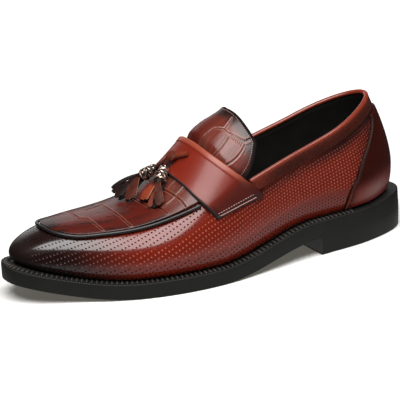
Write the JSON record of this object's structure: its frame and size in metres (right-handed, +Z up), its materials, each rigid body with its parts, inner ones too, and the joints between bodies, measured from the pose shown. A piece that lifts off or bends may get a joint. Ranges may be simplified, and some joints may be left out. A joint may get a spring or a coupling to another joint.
{
  "type": "tassel loafer",
  "caption": "Left tassel loafer: apron-toe slip-on shoe with a saddle strap, fringed tassels, bound collar, raised piping, welted rubber sole and stacked low heel.",
  "frame": {"origin": "on the floor under the middle of the shoe's bounding box", "axes": "+X from heel to toe, +Y towards the outer side of the foot, +Z up from the floor"},
  "size_m": [0.303, 0.1093, 0.1088],
  "materials": {
    "burnished_leather": "polished, darkened at toe and heel, perforated on the sides",
    "embossed_leather": "polished, pressed with a scale grain",
    "piping_leather": "polished black",
    "collar_leather": "smooth, satin",
    "sole_rubber": "matte satin black",
    "insole_leather": "matte black lining",
    "antique_bronze": "aged, dark in the hollows",
    "tassel_leather": "smooth with pale cut edges"
  },
  "bodies": {
    "root": {"outsole": "sole_rubber", "heel": "sole_rubber", "welt": "sole_rubber", "insole": "insole_leather", "upper": "burnished_leather", "tongue": "embossed_leather", "apron": "embossed_leather", "piping": "piping_leather", "strap": "burnished_leather", "collar": "collar_leather", "heel_counter": "burnished_leather", "tassel_lace": "tassel_leather", "tassel_cap_outer": "antique_bronze", "tassel_cap_inner": "antique_bronze", "tassel_fringe_outer": "tassel_leather", "tassel_fringe_inner": "tassel_leather"}
  },
  "joints": []
}
